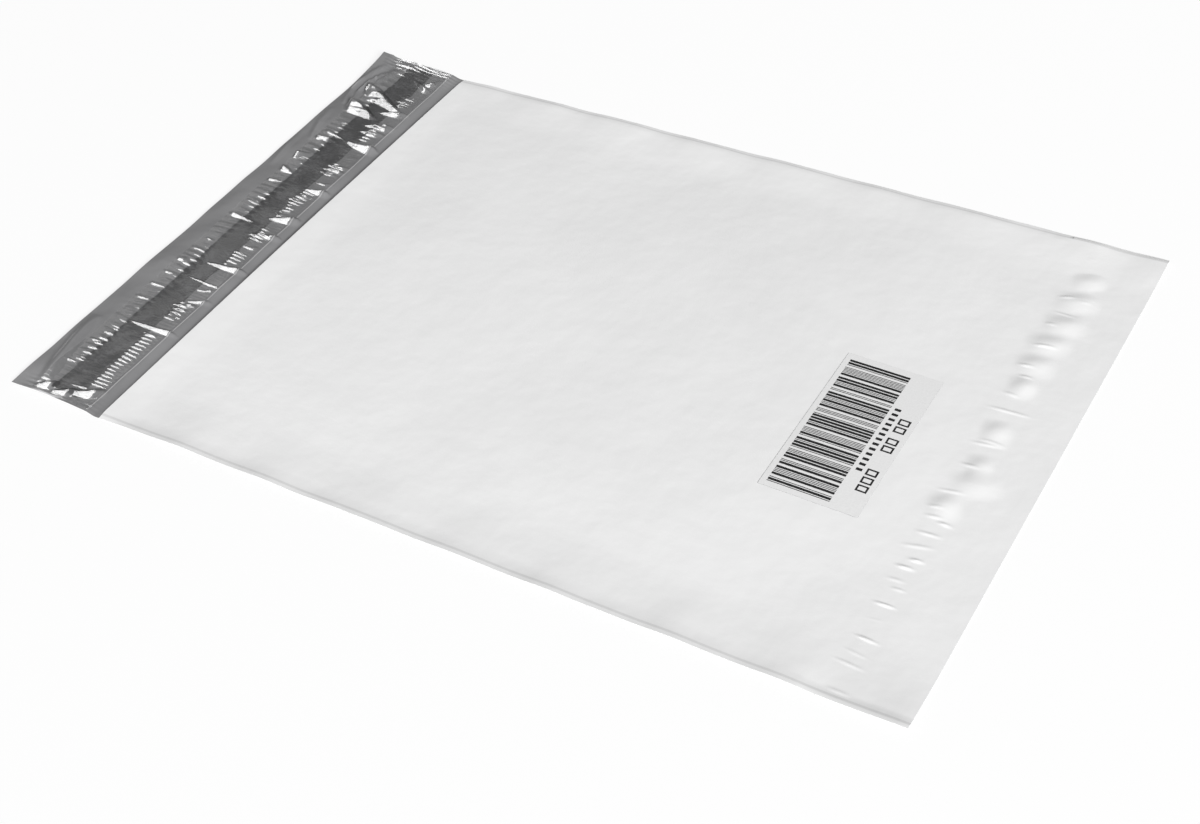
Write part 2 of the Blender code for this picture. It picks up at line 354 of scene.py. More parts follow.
def back_height(look, x, y):
    """Height of the back panel and the flap over the table.

    Both sides rise as a cubic, scalloped by a cosine. The far one rolls down at its weld, the near one
    curls up at its cut edge, and both have puckers that fade exponentially inwards. The free end
    rises as a square, and its far corner as the square of what is left of the corner's reach."""
    side_reach = 26 * MM
    lead_in = 10 * MM
    scallop_pitch = 41 * MM
    scallop_share = 0.3
    scallop_shift = 0.6
    side = smooth(HALF_WIDTH - side_reach, HALF_WIDTH, np.abs(y))
    in_pocket = smooth(MOUTH - lead_in, MOUTH + scallop_pitch, x)
    turn = 2 * math.pi * (FOLD - x) / scallop_pitch + scallop_shift * np.sign(y)
    scallop = 1 + scallop_share * np.cos(turn)
    to_side = HALF_WIDTH - np.abs(y)

    roll_share = 0.6
    roll_width = 1.8 * MM
    curl_width = 5 * MM
    curl_span = (MOUTH - 4 * MM, MOUTH + 12 * MM)
    roll = 1 - roll_share * (y > 0) * (1 - smooth(0, roll_width, to_side))
    lift = look.side_lift * side * in_pocket * scallop * roll
    lift = lift + look.side_curl * (y < 0) * smooth(curl_width, 0, to_side) * smooth(*curl_span, x)

    weld_reach = 9 * MM
    weld_lead_in = 15 * MM
    stretch = 0.1
    weld = np.exp(-to_side / weld_reach) * smooth(MOUTH, MOUTH + weld_lead_in, x)
    waves = swell(x, y * stretch, seed=5, shortest=15, longest=34)
    puckers = look.pucker * weld * (1 + waves)

    ripple_pitch = 85 * MM
    ripple_share = 0.25
    uneven_share = 0.12
    corner_reach = 24 * MM
    corner_height = 2.5 * MM
    corner_gain = 4
    curl = np.maximum((CURL_START - x) / (CURL_START - FLAP_END), 0.0) ** 2
    uneven = uneven_share * jitter(y, seed=8, shortest=25, longest=60)
    ripple = 1 + ripple_share * np.sin(2 * math.pi * y / ripple_pitch) + uneven
    from_corner = np.hypot(x - FLAP_END, y - HALF_WIDTH)
    corner = np.maximum(1 - from_corner / corner_reach, 0.0) ** 2 * np.minimum(1.0, curl * corner_gain)
    return FILM + lift + puckers + look.curl * curl * ripple + corner_height * corner


def line_place(u, v, start, end, bow=0.0):
    """How far along the line from start to end, 0 to 1, and how far off to its side, in millimetres.

    The line may bow out to the side by a parabola whose middle stands off by bow."""
    run = np.array(end) - np.array(start)
    length = float(np.hypot(*run))
    along = np.clip(((u - start[0]) * run[0] + (v - start[1]) * run[1]) / length ** 2, 0, 1)
    off = ((v - start[1]) * run[0] - (u - start[0]) * run[1]) / length
    return along, off - 4 * bow * along * (1 - along)


def crease(u, v, start, end, bow, width, height):
    """A soft ridge on a bowed line: a squared cosine across it and a power of a sine along it."""
    fade_power = 0.7
    along, off = line_place(u, v, start, end, bow)
    across = np.cos(math.pi / 2 * np.clip(off / width, -1, 1)) ** 2
    return height * across * np.sin(math.pi * along) ** fade_power


def teeth(turns, rising):
    """Ridges of height 1, one a turn.

    Each goes straight up over the share rising of its turn and straight down over the rest."""
    part = turns - np.floor(turns)
    return np.minimum(part / rising, (1 - part) / (1 - rising))


def strip_place(x, y):
    """Millimetres s from the flap's free end and t from its near side."""
    return (x - FLAP_END) / MM, (y + HALF_WIDTH) / MM


def in_stretches(t, stretches, faint):
    """faint along the strip, rising smoothly to 1 within each stretch."""
    outer = 2
    inner = 1
    strength = np.full(np.shape(t), faint)
    for start, end in stretches:
        inside = smooth(start - outer, start + inner, t) * (1 - smooth(end - inner, end + outer, t))
        strength = np.maximum(strength, inside)
    return strength


def flap_height(look, strip, x, y):
    """Height of the flap's grey side: the web's, plus lift, slack, puckers, folds and bunched sides.

    The puckers are a raised cosine whose phase wanders. They fade as a bell curve to both sides of the
    band's free edge and grow towards the far side."""
    s, t = strip_place(x, y)
    # Flat just beside the mouth, then bent up. The lift grows away from the mouth and droops at the end
    bend_span = (2 * MM, 7 * MM)
    step = 0.8 * MM
    rise = 1.7 * MM
    growing = (50, -2)
    drooping = (-12, 14)
    slack_height = 0.35 * MM
    mouth_bend = smooth(*bend_span, MOUTH - x)
    lift = step * mouth_bend + rise * smooth(*growing, s) * smooth(*drooping, s)
    slack = slack_height * (1 + swell(x, y, seed=24, shortest=16, longest=48)) * mouth_bend

    swing = 1.6 * MM
    slant = 0.16
    shift = swing * jitter(y, seed=21, shortest=12, longest=40)
    lean = slant * (x - GLUE_LOW[0]) * jitter(y, seed=22, shortest=20, longest=60)
    wander = y + shift + lean
    wave = 0.5 + 0.5 * np.cos(2 * math.pi * wander / strip.pucker_pitch)
    mean_strength = 0.6
    strength_swing = 0.5
    weakest = 0.1
    strongest = 1.3
    strength = mean_strength + strength_swing * jitter(y, seed=23, shortest=15, longest=50)
    strength = np.clip(strength, weakest, strongest)

    outward = 0.5 * MM
    outer_reach = 5
    outer_swing = 1.6
    inner_reach = 2.5 * MM
    near_growth = 0.65
    far_gain = 0.475
    centre = GLUE_LOW[0] - outward
    outer = (outer_reach + outer_swing * jitter(y, seed=26, shortest=6, longest=22)) * MM
    reach = np.where(x < centre, outer, inner_reach)
    growth = near_growth + far_gain * (1 + y / HALF_WIDTH)
    puckers = strip.pucker_height * growth * wave * strength * np.exp(-((x - centre) / reach) ** 2)
    web = back_height(look, x, y) + lift + slack + puckers
    return web + large_folds(strip, s, t) + side_bunch(strip, s, t)


def large_folds(strip, s, t):
    """Folds and creases: each fold is a facet that rises towards the far side and drops behind.

    A facet's width grows with its run to the power 0.6 and rounds off at its end. Its height is its
    slope times its width, the slope grows by half towards the far side, and the facet levels off a
    little towards its crest."""
    slope_gain = 0.5
    closing_from = 0.75
    closing_run = 0.25
    opening_power = 0.6
    narrowest = 0.01
    drop_share = 0.5
    levelling = 0.3
    total = np.zeros(np.broadcast(s, t).shape)
    slope = strip.fold_slope * (1 + slope_gain * t * MM / (2 * HALF_WIDTH))
    for folds, steepness in ((LARGE_FOLDS, 1.0), (SOFT_FOLDS, SOFT_SHARE)):
        for root_s, root_t, end_s, end_t, width in folds:
            run = (s - root_s) / (end_s - root_s)
            closing = np.sqrt(1 - np.clip((run - closing_from) / closing_run, 0, 1) ** 2)
            span = width * np.clip(run, 0, 1) ** opening_power * closing
            off = (t - root_t - (end_t - root_t) * run) / np.maximum(span, narrowest)
            facet = np.clip(np.where(off < 0, 1 + off, 1 - off / drop_share), 0, 1)
            height = steepness * slope * span * facet * ((1 + levelling) - levelling * facet)
            total = np.maximum(total, height)
    for start, end, bow, width, height in SOFT_CREASES:
        total = total + crease(s, t, start, end, bow, width, height)
    return total * MM


def side_bunch(strip, s, t):
    """Ridges along X beside both cut sides: straight-sided teeth that wander by two sines as they run.

    They fade as a bell curve away from the side and smoothly at both ends."""
    pitch = 2.1
    long_swing = 0.7
    long_length = 7
    short_swing = 0.25
    short_length = 2.7
    phase_length = 40
    reach = 6.5
    fade_in = (2, 10)
    fade_out = (40, 44)
    near_share = 0.35
    far_gain = 0.85
    to_side = np.minimum(t, 2 * HALF_WIDTH / MM - t)
    short_wave = short_swing * np.sin(s / short_length + t / phase_length)
    wander = to_side + long_swing * np.sin(s / long_length) + short_wave
    ridges = teeth(-wander / pitch, rising=0.5)
    fade = np.exp(-(to_side / reach) ** 2) * smooth(*fade_in, s) * (1 - smooth(*fade_out, s))
    share = near_share + far_gain * (t * MM > HALF_WIDTH)
    return strip.bunch_height * ridges * fade * share


def panel_height(look, x, y):
    """Height of the front panel: that of the back panel, plus the pocket's loft, waves and wrinkles.

    The loft is a cosine across the bag that closes as a cubic at the fold. The panel never comes closer
    to the back one than a share of the loft, and rises in a small lip at the mouth."""
    opening_reach = 90 * MM
    closing_reach = 100 * MM
    share = np.clip(np.abs(y) / HALF_WIDTH, 0, 1)
    across = np.cos(math.pi / 2 * share)
    gain = look.loft - look.mouth_loft
    opening = look.mouth_loft + gain * smooth(MOUTH, MOUTH + opening_reach, x)
    closing = smooth(0.0, closing_reach, FOLD - x)
    loft = opening * across * closing

    side_inset = 30 * MM
    fold_inset = 25 * MM
    wave_span = (MOUTH - 20 * MM, MOUTH + 60 * MM)
    inset = smooth(0.0, side_inset, HALF_WIDTH - np.abs(y)) * smooth(0.0, fold_inset, FOLD - x)
    waves = look.swell * swell(x, y, seed=31, shortest=70, longest=210)
    waves = waves * inset * smooth(*wave_span, x)

    lip_height = 0.6 * MM
    lip_reach = 14 * MM
    lip_margin = 4 * MM
    least_share = 0.12
    lip = lip_height * (1 - smooth(MOUTH, MOUTH + lip_reach, x))
    lip = lip * smooth(0.0, lip_margin, HALF_WIDTH - np.abs(y))
    raised = np.maximum(loft + waves + pressed_wrinkles(look, x, y), least_share * loft)
    return back_height(look, x, y) + PANEL_GAP + lip + raised


def pressed_wrinkles(look, x, y):
    """Dimples and lips: ridges that run lengthwise, each fading along its line by a power of a sine.

    A dimple rises gently on the near side and drops a little faster on the far one. A lip is a ridge
    2.3 mm wide with cubic flanks."""
    dimple_shift = 3.6
    dimple_rise = 8.5
    dimple_drop = 7.2
    dimple_power = 1.5
    lip_rise = 1.0
    lip_drop = 1.3
    u, v = (FOLD - x) / MM, (y + HALF_WIDTH) / MM
    total = np.zeros(np.broadcast(x, y).shape)
    for start, end in DIMPLES:
        along, off = line_place(u, v, start, end)
        off = -off + dimple_shift
        across = smooth(-dimple_rise, 0, off) * (1 - smooth(0, dimple_drop, off))
        total += look.dimple * across * np.sin(math.pi * along) ** dimple_power
    for start, end, share in LIPS:
        along, off = line_place(u, v, start, end)
        across = smooth(-lip_rise, 0, -off) * (1 - smooth(0, lip_drop, -off))
        total += look.lip * share * across * np.sin(math.pi * along)
    return total


def liner_rise(strip, x, y):
    """The liner's height over the flap: flat on the adhesive, combed beside it, crumpled at its ends.

    Each comb is a row of straight-sided ridges whose phase wanders. They have their full height at the
    band's edge and fall off in a straight line to a ragged stop. The crumple is the size of a sum of
    random waves and fades exponentially from the cut sides."""
    s, t = strip_place(x, y)
    band_free, band_mouth = strip_place(GLUE_LOW[0], 0)[0], strip_place(GLUE_HIGH[0], 0)[0]
    pitch = strip.comb_pitch / MM
    rising = 0.45

    # The near part is combed evenly and the rest at random
    even_end = (44, 60)
    least_uneven = 0.15
    uneven_gain = 1.6
    mouth_lean = 0.12
    mouth_reach = 8.2
    mouth_swing = 1.6
    start_inset = 0.9
    onset = 1.2
    mouth_faint = 0.35
    uneven = least_uneven + uneven_gain * smooth(*even_end, t)
    shift = uneven * jitter(y, seed=51, shortest=9, longest=30)
    lean = mouth_lean * (s - band_mouth) * jitter(y, seed=52, shortest=14, longest=40)
    ridges = teeth((t + shift + lean) / pitch, rising)
    ragged = mouth_swing * jitter(y, seed=53, shortest=5, longest=18)
    stop = band_mouth + mouth_reach + ragged
    ragged = start_inset * jitter(y, seed=59, shortest=3, longest=11)
    start = band_mouth - start_inset - ragged
    envelope = smooth(start, start + onset, s) * np.clip((stop - s) / mouth_reach, 0, 1)
    mouth_comb = ridges * envelope * in_stretches(t, MOUTH_COMBS, mouth_faint)

    free_uneven = 1.3
    free_lean = 0.15
    free_pitch = 0.75
    free_reach = 3.8
    free_swing = 1.2
    free_height = 0.5
    free_faint = 0.3
    outset = 0.4
    inset = 1.4
    edge = (band_free - outset, band_free + inset)
    shift = free_uneven * jitter(y, seed=54, shortest=9, longest=30)
    lean = free_lean * (s - band_free) * jitter(y, seed=55, shortest=14, longest=40)
    ridges = teeth((t + shift - lean) / (free_pitch * pitch), rising)
    ragged = free_swing * jitter(y, seed=56, shortest=5, longest=18)
    stop = band_free - free_reach + ragged
    envelope = (1 - smooth(*edge, s)) * np.clip((s - stop) / free_reach, 0, 1)
    free_comb = free_height * ridges * envelope * in_stretches(t, FREE_COMBS, free_faint)

    near_crumple = 0.35
    near_fade = 5
    far_crumple = 0.25
    far_fade = 4
    crumple_height = 0.8 * MM
    ripple_height = 0.05 * MM
    near_height = 0.9
    height_gain = 0.6
    far = 2 * HALF_WIDTH / MM - t
    ends = near_crumple * np.exp(-t / near_fade) + far_crumple * np.exp(-far / far_fade)
    rumple = swell(x, y, seed=57, shortest=6, longest=20, waves=14)
    crumple = crumple_height * ends * np.abs(rumple)
    ripple = ripple_height * (1 + swell(x, y, seed=58, shortest=5, longest=16, waves=14))
    height = strip.comb_height * (near_height + height_gain * t / (t + far))
    return LINER_GAP + height * (mouth_comb + free_comb) + crumple + ripple


def quads(index, up):
    """Faces of a grid of point numbers, rows along X and columns along Y, facing up or down."""
    corners = [index[:-1, :-1], index[1:, :-1], index[1:, 1:], index[:-1, 1:]]
    if not up:
        corners.reverse()
    return np.stack(corners, axis=-1).reshape(-1, 4).tolist()


def stitch(coarse, fine, flip=False):
    """One many-sided face from each step of the coarse edge to the fine steps beside it."""
    ratio = (len(fine) - 1) // (len(coarse) - 1)
    faces = []
    for k in range(len(coarse) - 1):
        face = [coarse[k], coarse[k + 1], *fine[k * ratio:(k + 1) * ratio + 1][::-1]]
        faces.append([int(v) for v in (face[::-1] if flip else face)])
    return faces


def stations(*spans):
    """Positions along a line from (start, end, steps) spans that follow each other."""
    parts = [np.linspace(a, b, n + 1)[:-1] for a, b, n in spans]
    return np.concatenate(parts + [[spans[-1][1]]])


def new_piece(name, points, faces, materials):
    """A mesh object from points and faces, riding on the bag's one body."""
    mesh = bpy.data.meshes.new(name)
    mesh.from_pydata(points, [], faces)
    for finish in materials:
        mesh.materials.append(finish)
    mesh.shade_smooth()
    piece = bpy.data.objects.new(name, mesh)
    bpy.context.scene.collection.objects.link(piece)
    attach(piece, "root")
    return piece


def thicken(piece, thickness, inner_material=0, rim_material=0):
    """Add a wall outside the modelled sheet, which stays as its inner or lower skin, and crisp its rim.

    Inner skin and rim take the material that stands so many places after the sheet's own."""
    crisp_angle = math.radians(62)
    wall = piece.modifiers.new("Thickness", "SOLIDIFY")
    wall.thickness = thickness
    wall.offset = 1.0
    wall.use_even_offset = True
    wall.use_quality_normals = True
    wall.material_offset = inner_material
    wall.material_offset_rim = rim_material
    solid = piece.evaluated_get(bpy.context.evaluated_depsgraph_get())
    mesh = bpy.data.meshes.new_from_object(solid)
    piece.modifiers.clear()
    piece.data = mesh
    mesh.shade_smooth()
    mesh.set_sharp_from_angle(angle=crisp_angle)


def grid_points(xs, ys, height):
    """Points of a grid on the stations xs and ys, with z from height(x, y), row by row."""
    x, y = np.meshgrid(xs, ys, indexing="ij")
    return np.stack([x, y, height(x, y)], axis=-1).reshape(-1, 3)


def add_node(tree, kind, settings=None, **links):
    """Add one shader node, set its properties and fill its inputs with values or links.

    Inputs go by name, with _ for a space, or by number as in i0. A node stands for its first output."""
    node = tree.nodes.new("ShaderNode" + kind)
    for key, value in (settings or {}).items():
        setattr(node, key, value)
    for key, value in links.items():
        socket = node.inputs[int(key[1:])] if key[1:].isdigit() else node.inputs[key.replace("_", " ")]
        if isinstance(value, bpy.types.Node):
            value = value.outputs[0]
        if isinstance(value, bpy.types.NodeSocket):
            tree.links.new(value, socket)
        else:
            socket.default_value = value
    return node


def start_material(name):
    """An empty material and its node tree."""
    made = bpy.data.materials.new(name)
    made.use_nodes = True
    made.node_tree.nodes.clear()
    return made, made.node_tree


def film_material(name, colour, roughness, level, haze_and_sheen, weld):
    """Blown polyethylene film: semi-gloss, with gauge bands and haze in its tone; a wide haze, as on
    the grey side, is partly painted sheen of soft light streaks.

    Its colour is darker by weld along the side welds: partly the seam's own tone, partly painted
    shade of the weld's groove. level is the strength of its gloss."""
    smoother = 0.04
    rougher = 0.05
    weld_inset = 2 * MM
    weld_core = 0.3 * MM
    weld_reach = 0.7 * MM
    made, tree = start_material(name)
    place = add_node(tree, "TexCoord").outputs["Object"]
    # Gauge bands and haze about 36 mm across; on the grey side partly painted sheen of light streaks
    cloud = add_node(tree, "TexNoise", Vector=place, Scale=28.0, Detail=3.0)
    tone = add_node(
        tree, "MapRange", Value=cloud, From_Min=NOISE_LOW, From_Max=NOISE_HIGH, To_Min=1 - haze_and_sheen,
        To_Max=1 + haze_and_sheen)
    # Side welds 1 mm wide, 2 mm in from the cut sides of the pocket. Their darker line is partly the
    #     seam's own tone and partly painted shade of the weld's groove
    axes = add_node(tree, "SeparateXYZ", Vector=place)
    side = add_node(tree, "Math", {"operation": "ABSOLUTE"}, i0=axes.outputs["Y"])
    off = add_node(tree, "Math", {"operation": "SUBTRACT"}, i0=side, i1=HALF_WIDTH - weld_inset)
    off = add_node(tree, "Math", {"operation": "ABSOLUTE"}, i0=off)
    line = add_node(
        tree, "MapRange", Value=off, From_Min=weld_core, From_Max=weld_reach, To_Min=weld,
        To_Max=0.0)
    joined = add_node(tree, "Math", {"operation": "GREATER_THAN"}, i0=axes.outputs["X"], i1=MOUTH)
    line = add_node(tree, "Math", {"operation": "MULTIPLY"}, i0=line, i1=joined)
    tone = add_node(tree, "Math", {"operation": "SUBTRACT"}, i0=tone, i1=line)
    shade = add_node(tree, "VectorMath", {"operation": "SCALE"}, i0=(*colour,), i3=tone)
    gloss = add_node(
        tree, "MapRange", Value=cloud, From_Min=NOISE_LOW, From_Max=NOISE_HIGH,
        To_Min=roughness - smoother, To_Max=roughness + rougher)
    # Orange peel of about 1.5 mm and slack of about 12 mm that the mesh is too coarse for
    peel = add_node(tree, "TexNoise", Vector=place, Scale=650.0, Detail=2.0)
    slack = add_node(tree, "TexNoise", Vector=place, Scale=80.0, Detail=2.0)
    fine = add_node(tree, "Bump", Height=peel, Strength=0.12, Distance=0.1 * MM)
    bump = add_node(tree, "Bump", Height=slack, Strength=0.5, Distance=0.5 * MM, Normal=fine)
    skin = add_node(
        tree, "BsdfPrincipled", Base_Color=shade, Roughness=gloss, IOR=1.5,
        Specular_IOR_Level=level, Normal=bump)
    add_node(tree, "OutputMaterial", Surface=skin)
    return made


def adhesive_material(colour):
    """Hot-melt adhesive: dark, tacky and speckled with small air pockets under the liner."""
    made, tree = start_material("hot_melt_adhesive")
    place = add_node(tree, "TexCoord").outputs["Object"]
    # Specks of about 1 mm in patches of about 7 mm
    specks = add_node(tree, "TexNoise", Vector=place, Scale=900.0, Detail=3.0, Roughness=0.6)
    patch = add_node(tree, "TexNoise", Vector=place, Scale=140.0, Detail=2.0)
    both = add_node(tree, "Math", {"operation": "MULTIPLY"}, i0=specks, i1=patch)
    tone = add_node(
        tree, "MapRange", Value=both, From_Min=0.2, From_Max=0.42, To_Min=0.6, To_Max=3.8)
    shade = add_node(tree, "VectorMath", {"operation": "SCALE"}, i0=(*colour,), i3=tone)
    bump = add_node(tree, "Bump", Height=specks, Strength=0.4, Distance=0.15 * MM)
    skin = add_node(tree, "BsdfPrincipled", Base_Color=shade, Roughness=0.42, IOR=1.48, Normal=bump)
    add_node(tree, "OutputMaterial", Surface=skin)
    return made


def liner_material(name, colour, alpha):
    """Clear siliconed liner film: see-through, with a hard gloss that flashes on every crinkle."""
    made, tree = start_material(name)
    place = add_node(tree, "TexCoord").outputs["Object"]
    # Fine crinkle of about 2 mm, drawn out four times lengthwise, which is finer than the mesh
    stretch = add_node(tree, "Mapping", Vector=place, Scale=(0.25, 1.0, 1.0))
    crinkle = add_node(tree, "TexNoise", Vector=stretch, Scale=420.0, Detail=2.0)
    bump = add_node(tree, "Bump", Height=crinkle, Strength=0.3, Distance=0.25 * MM)
    skin = add_node(
        tree, "BsdfPrincipled", Base_Color=(*colour, 1.0), Roughness=0.2, IOR=1.6, Alpha=alpha,
        Specular_IOR_Level=1.0, Coat_Weight=1.0, Coat_Roughness=0.1, Coat_IOR=2.6, Normal=bump,
        Coat_Normal=bump)
    add_node(tree, "OutputMaterial", Surface=skin)
    return made


def print_material(name, colour, roughness):
    """Coated label paper or thermal ink on it: smooth, with faint fibre mottle."""
    mottle = 0.03
    made, tree = start_material(name)
    place = add_node(tree, "TexCoord").outputs["Object"]
    # Paper fibres of about 0.7 mm, drawn as coarse as they need to show
    fibre = add_node(tree, "TexNoise", Vector=place, Scale=1400.0, Detail=2.0)
    tone = add_node(
        tree, "MapRange", Value=fibre, From_Min=NOISE_LOW, From_Max=NOISE_HIGH, To_Min=1 - mottle,
        To_Max=1 + mottle)
    shade = add_node(tree, "VectorMath", {"operation": "SCALE"}, i0=(*colour,), i3=tone)
    bump = add_node(tree, "Bump", Height=fibre, Strength=0.1, Distance=0.05 * MM)
    skin = add_node(
        tree, "BsdfPrincipled", Base_Color=shade, Roughness=roughness, IOR=1.5, Normal=bump)
    add_node(tree, "OutputMaterial", Surface=skin)
    return made


class MAILER_OT_film_bag(bpy.types.Operator):
    """Both panels and the flap as one web of film"""

    bl_idname = "mailer.film_bag"
    bl_label = "Film bag"

    def execute(self, context):
        look = context.scene.mailer_film
        strip = context.scene.mailer_strip
        zone = FOLD - WRINKLE_ZONE
        rows = stations((MOUTH, zone, PANEL_ROWS), (zone, FOLD, WRINKLE_ROWS))
        edges = (FLAP_END, LINER_LOW[0], LINER_HIGH[0], MOUTH)
        # The mouth's row belongs to the back panel
        flap_rows = stations(*zip(edges, edges[1:], FLAP_ROWS))[:-1]
        columns = {
            count: np.linspace(-HALF_WIDTH, HALF_WIDTH, count + 1)
            for count in (BACK_COLUMNS, FRONT_COLUMNS, WRINKLE_COLUMNS, FLAP_COLUMNS)}

        on_panel = partial(panel_height, look)
        parts = (
            grid_points(rows, columns[BACK_COLUMNS], partial(back_height, look)),
            grid_points(rows[:PANEL_ROWS], columns[FRONT_COLUMNS], on_panel),
            grid_points(rows[PANEL_ROWS:], columns[WRINKLE_COLUMNS], on_panel),
            grid_points(flap_rows, columns[FLAP_COLUMNS], partial(flap_height, look, strip)))
        starts = np.cumsum([0] + [len(part) for part in parts])
        back, front, wrinkled, flap = (
            np.arange(start, start + len(part)).reshape(-1, count + 1)
            for start, part, count in zip(starts, parts, columns))
        points = np.concatenate(parts)

        faces = quads(back, up=False) + quads(front, up=True)
        faces += quads(wrinkled, up=True) + quads(flap, up=False)
        faces += stitch(back[0], flap[-1], flip=True)
        faces += stitch(front[-1], wrinkled[0], flip=True)
        faces += stitch(back[-1], wrinkled[-1])
        faces += stitch(back[:, 0], np.concatenate([front[:, 0], wrinkled[:, 0]]))
        faces += stitch(back[:, -1], np.concatenate([front[:, -1], wrinkled[:, -1]]), flip=True)

        # The white side's weld lines are darker partly by the seam's tone, partly by painted groove
        # shade
        white = film_material(
            "white_film_outside", look.outside, roughness=0.34, level=0.5, haze_and_sheen=0.012, weld=0.16)
        # The grey side's wide haze is partly painted sheen, standing in for soft light streaks in slack
        # film
        grey = film_material(
            "grey_film_inside", look.inside, roughness=0.22, level=0.8, haze_and_sheen=0.11, weld=0.0)
        piece = new_piece("film_bag_skin", points, faces, (white, grey))
        thicken(piece, FILM, inner_material=1)
        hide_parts("film_bag")
        return {"FINISHED"}


class MAILER_OT_glue_band(bpy.types.Operator):
    """Adhesive band on the flap"""

    bl_idname = "mailer.glue_band"
    bl_label = "Adhesive band"

    def execute(self, context):
        look = context.scene.mailer_film
        strip = context.scene.mailer_strip
        # Both edges of the melt waver by this much
        waver = 0.35 * MM
        across = np.linspace(0, 1, GLUE_ROWS + 1)
        ys = np.linspace(GLUE_LOW[1], GLUE_HIGH[1], GLUE_COLUMNS + 1)
        run, y = np.meshgrid(across, ys, indexing="ij")
        low = GLUE_LOW[0] + waver * jitter(y, seed=81, shortest=3, longest=14)
        high = GLUE_HIGH[0] + waver * jitter(y, seed=82, shortest=3, longest=14)
        x = low + (high - low) * run
        z = flap_height(look, strip, x, y) + GLUE_GAP
        points = np.stack([x, y, z], axis=-1).reshape(-1, 3)
        faces = quads(np.arange(len(points)).reshape(len(across), -1), up=True)
        finish = adhesive_material(strip.adhesive)
        piece = new_piece("glue_band", points, faces, (finish,))
        thicken(piece, GLUE_SHEET)
        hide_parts("glue_strip")
        return {"FINISHED"}


class MAILER_OT_release_liner(bpy.types.Operator):
    """Clear crinkled film over the adhesive"""

    bl_idname = "mailer.release_liner"
    bl_label = "Release liner"

    def execute(self, context):
        look = context.scene.mailer_film
        strip = context.scene.mailer_strip
        # The last row is the slit edge, whose highlight is painted as a light tint
        slit_width = 0.35 * MM
        slit = LINER_HIGH[0] - slit_width
        xs = np.append(np.linspace(LINER_LOW[0], slit, LINER_ROWS + 1), LINER_HIGH[0])
        ys = np.linspace(LINER_LOW[1], LINER_HIGH[1], LINER_COLUMNS + 1)
        points = grid_points(
            xs, ys, lambda x, y: flap_height(look, strip, x, y) + liner_rise(strip, x, y))
        faces = quads(np.arange(len(points)).reshape(len(xs), -1), up=True)
        clear = liner_material("clear_liner_film", strip.liner, alpha=0.2)
        # Painted highlight: the slit edge's row gets a light tint in place of light from a lamp
        painted_highlight = liner_material("liner_painted_slit_highlight", strip.slit_highlight_tint, alpha=0.32)
        piece = new_piece("liner_film_strip", points, faces, (clear, painted_highlight))
        finish = np.zeros(len(faces), np.int32)
        finish[-LINER_COLUMNS:] = 1
        piece.data.polygons.foreach_set("material_index", finish)
        thicken(piece, LINER_SHEET)
        # Clear film dims what lies under it far less than its shadow would
        piece.visible_shadow = False
        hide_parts("release_liner")
        return {"FINISHED"}


class MAILER_OT_label(bpy.types.Operator):
    """Paper label with printed bars, ticks and open boxes"""

    bl_idname = "mailer.label"
    bl_label = "Label"

    def execute(self, context):
        look = context.scene.mailer_film
        label = context.scene.mailer_label
        rows, columns, dark = label_print(label)
        points = grid_points(
            rows, columns, lambda x, y: panel_height(look, x, y) + FILM + LABEL_GAP)
        faces = quads(np.arange(len(points)).reshape(len(rows), -1), up=True)
        paper = print_material("label_paper", label.paper, roughness=0.5)
        ink = print_material("label_ink", label.ink, roughness=0.45)
        # The rim gets painted shade, a dark grey that draws the label's outline
        edge = print_material("label_painted_edge_shade", label.edge_shade_tint, roughness=0.6)
        piece = new_piece("label_sheet", points, faces, (paper, ink, edge))
        piece.data.polygons.foreach_set("material_index", dark.astype(np.int32).ravel())
        thicken(piece, LABEL_SHEET, rim_material=2)
        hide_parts("pack_label")
        return {"FINISHED"}


def label_print(label):
    """Rows and columns of the label's grid, and which of its cells are inked.

    Each group of bars has two wide bars and one wide gap, drawn at random. A row of ticks and a row of
    open boxes stand where lettering would be."""
    left, right = LABEL_LOW[0], LABEL_HIGH[0]
    near, far = LABEL_LOW[1], LABEL_HIGH[1]
    rng = np.random.default_rng(71)
    wide = WIDE_MODULES * label.module
    bar_rows, tick_rows, box_rows = (
        (left + start * MM, left + end * MM) for start, end in (BAR_SPAN, TICK_SPAN, BOX_SPAN))
    bars = []
    at = near + FIRST_BAR * MM
    for _ in range(BAR_GROUPS):
        wide_bars = rng.choice(BARS_PER_GROUP, WIDE_BARS_PER_GROUP, replace=False)
        wide_gap = rng.integers(BARS_PER_GROUP - 1)
        for k in range(BARS_PER_GROUP):
            width = wide if k in wide_bars else label.module
            bars.append((at, at + width))
            at += width + (wide if k == wide_gap else label.module)
    ticks = [
        tuple(near + (place + TICK_PITCH * k) * MM for place in FIRST_TICK) for k in range(TICK_COUNT)]
    boxes = [(near + start * MM, near + (start + BOX_SIDE) * MM) for start in BOX_STARTS]
    line = BOX_LINE * MM
    hollow = (box_rows[0] + line, box_rows[1] - line)
    cores = [(start + line, end - line) for start, end in boxes]
    even = np.linspace(left, right, LABEL_ROWS + 1)
    rows = np.unique(np.concatenate([[left, right], bar_rows, tick_rows, box_rows, hollow, even]))
    columns = np.unique(np.concatenate([[near, far], *bars, *ticks, *boxes, *cores]))
    middles = ((rows[1:] + rows[:-1]) / 2, (columns[1:] + columns[:-1]) / 2)
    mid_x, mid_y = np.meshgrid(*middles, indexing="ij")
    dark = np.zeros(mid_x.shape, bool)
    prints = (
        (bar_rows, bars, True), (tick_rows, ticks, True),
        (box_rows, boxes, True), (hollow, cores, False))
    for span, marks, ink in prints:
        in_rows = (mid_x > span[0]) & (mid_x < span[1])
        for start, end in marks:
            dark[in_rows & (mid_y > start) & (mid_y < end)] = ink
    return rows, columns, dark


